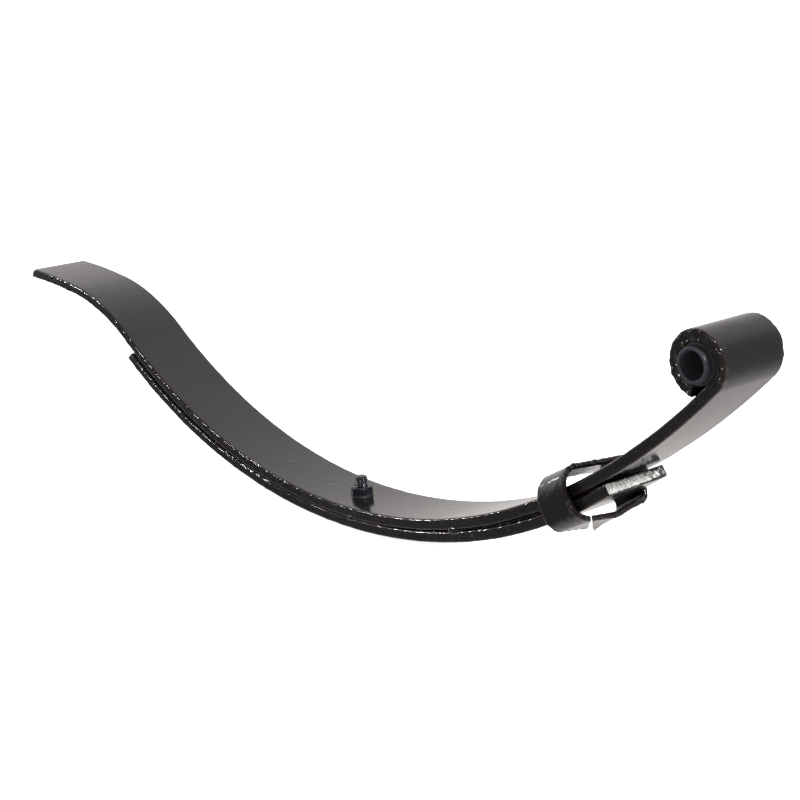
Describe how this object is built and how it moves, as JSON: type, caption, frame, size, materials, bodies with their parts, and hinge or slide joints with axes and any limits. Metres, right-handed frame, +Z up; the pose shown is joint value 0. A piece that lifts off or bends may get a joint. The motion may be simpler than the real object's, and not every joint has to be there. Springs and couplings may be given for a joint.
{
  "type": "leaf spring",
  "caption": "Slipper-end leaf spring: a long main leaf with a rolled, bushed eye over a shorter leaf, held by a centre bolt and a loose rebound clip.",
  "frame": {"origin": "where the centre bolt's axis meets the underside of the leaf pack, the middle of the axle seat", "axes": "+X along the spring from the slipper end to the eye, +Y across the leaves along the eye's axis, +Z up along the centre bolt from its head to its nut"},
  "size_m": [0.9306, 0.077, 0.2307],
  "materials": {
    "leaf_paint": "gloss black enamel over hot-rolled spring steel, with runs and drips along the edges",
    "clip_paint": "thick gloss black enamel",
    "fastener_paint": "black enamel, slightly blue, semi-gloss",
    "bush_liner": "matt black moulded liner",
    "bush_sleeve": "dark oily steel tube with a worn end face",
    "sheared_steel": "bare sheared end face with shear marks"
  },
  "bodies": {
    "leaf_pack": {"main_leaf": "leaf_paint", "second_leaf": "leaf_paint", "centre_bolt": "fastener_paint", "centre_nut": "fastener_paint", "eye_liner": "bush_liner"},
    "bush_sleeve": {"eye_sleeve": "bush_sleeve"},
    "clip": {"rebound_clip": "clip_paint"}
  },
  "joints": [
    {"name": "sleeve_turn", "type": "hinge", "parent": "leaf_pack", "child": "bush_sleeve", "pos_m": [0.40077, 0, 0.20025], "axis": [0, 1, 0], "continuous": true},
    {"name": "clip_rock", "type": "hinge", "parent": "leaf_pack", "child": "clip", "pos_m": [0.27361, 0, 0.07722], "axis": [0.8828, 0, 0.4698], "range_deg": [-1.5, 8.5]}
  ]
}
